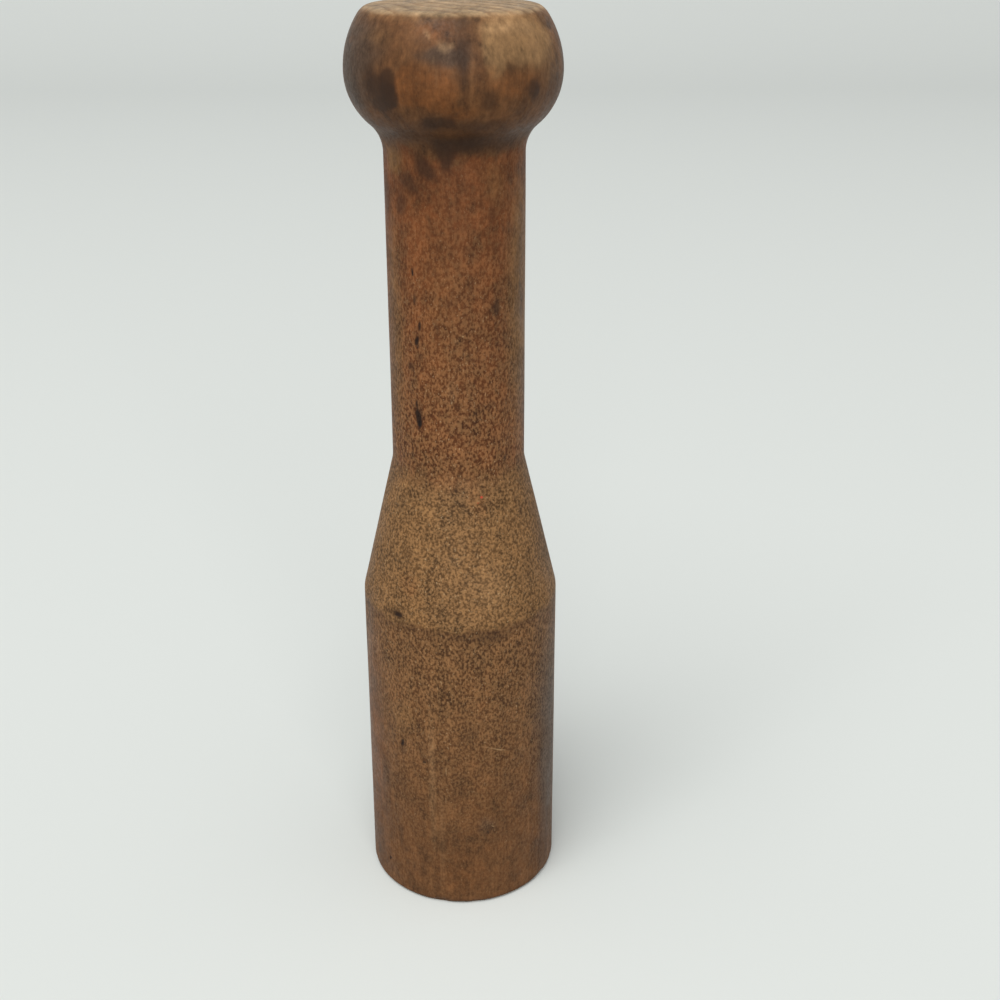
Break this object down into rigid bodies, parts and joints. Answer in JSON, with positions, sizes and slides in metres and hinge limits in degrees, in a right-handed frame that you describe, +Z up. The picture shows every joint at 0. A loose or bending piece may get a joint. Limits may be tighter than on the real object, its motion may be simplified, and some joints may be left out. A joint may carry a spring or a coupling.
{
  "type": "pestle",
  "caption": "Turned wooden pestle with a flattened ball knob, a straight handle, a cone and a straight-sided flat-ended pounding barrel.",
  "frame": {"origin": "centre of the flat pounding face, on the surface that the pestle stands on", "axes": "+Z up along the turning's axis, from the pounding face to the knob. The front of the finish is at -Y, with +X to its right."},
  "size_m": [0.0314, 0.0314, 0.1425],
  "materials": {
    "turned_wood": "worn, bare, hand-darkened close-grained hardwood"
  },
  "bodies": {
    "root": {"pestle": "turned_wood"}
  },
  "joints": []
}
